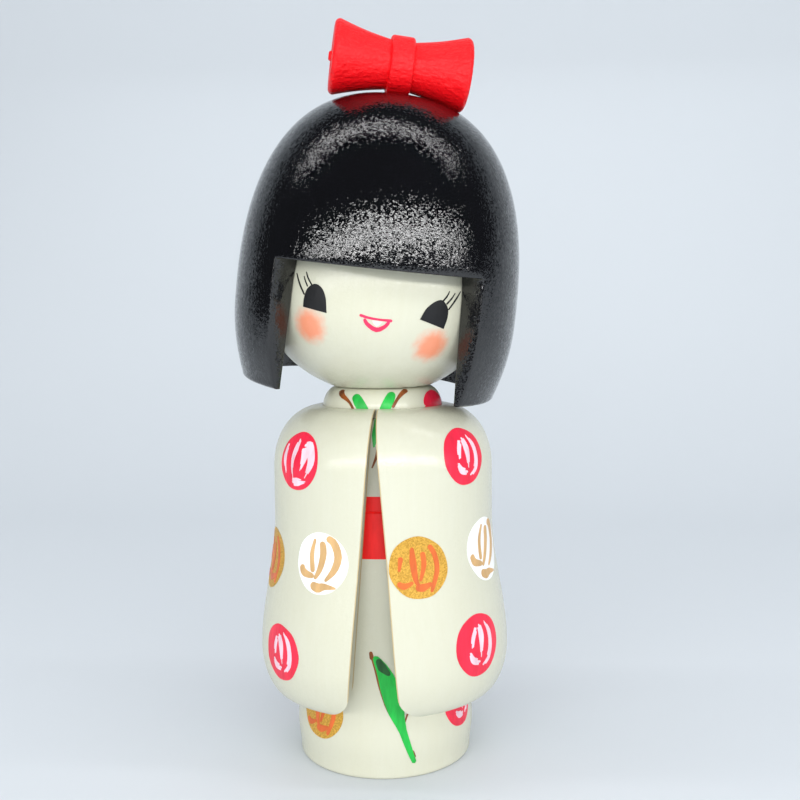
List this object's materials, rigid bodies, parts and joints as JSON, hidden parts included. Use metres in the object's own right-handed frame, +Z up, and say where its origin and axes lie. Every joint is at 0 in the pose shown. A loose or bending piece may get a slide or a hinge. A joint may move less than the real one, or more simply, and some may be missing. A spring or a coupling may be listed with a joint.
{
  "type": "kokeshi doll",
  "caption": "Turned wooden doll with a slit coat, a tilted head that swivels on a neck dowel, a lacquered bob of hair and a bow.",
  "frame": {"origin": "middle of the flat foot, on the surface that the doll stands on", "axes": "+Z up along the trunk and neck dowel; the front of the coat, where its slit opens, looks along -Y; +X is the doll's left hand side"},
  "size_m": [0.0627, 0.0622, 0.1603],
  "materials": {
    "ivory_lacquer": "gloss",
    "black_lacquer": "gloss",
    "red_lacquer": "satin",
    "bare_wood": "matt",
    "black_paint": "satin",
    "red_paint": "satin",
    "orange_paint": "satin",
    "white_paint": "satin",
    "gold_paint": "satin",
    "green_paint": "satin",
    "brown_paint": "satin"
  },
  "bodies": {
    "figure": {"body": "ivory_lacquer", "coat": "ivory_lacquer"},
    "head_group": {"neck_dowel": "bare_wood", "head": "ivory_lacquer", "hair": "black_lacquer", "bow": "red_lacquer", "bow_dowel": "bare_wood"}
  },
  "joints": [
    {"name": "head_swivel", "type": "hinge", "parent": "figure", "child": "head_group", "pos_m": [0, 0, 0.083], "axis": [0, 0, 1], "continuous": true}
  ]
}
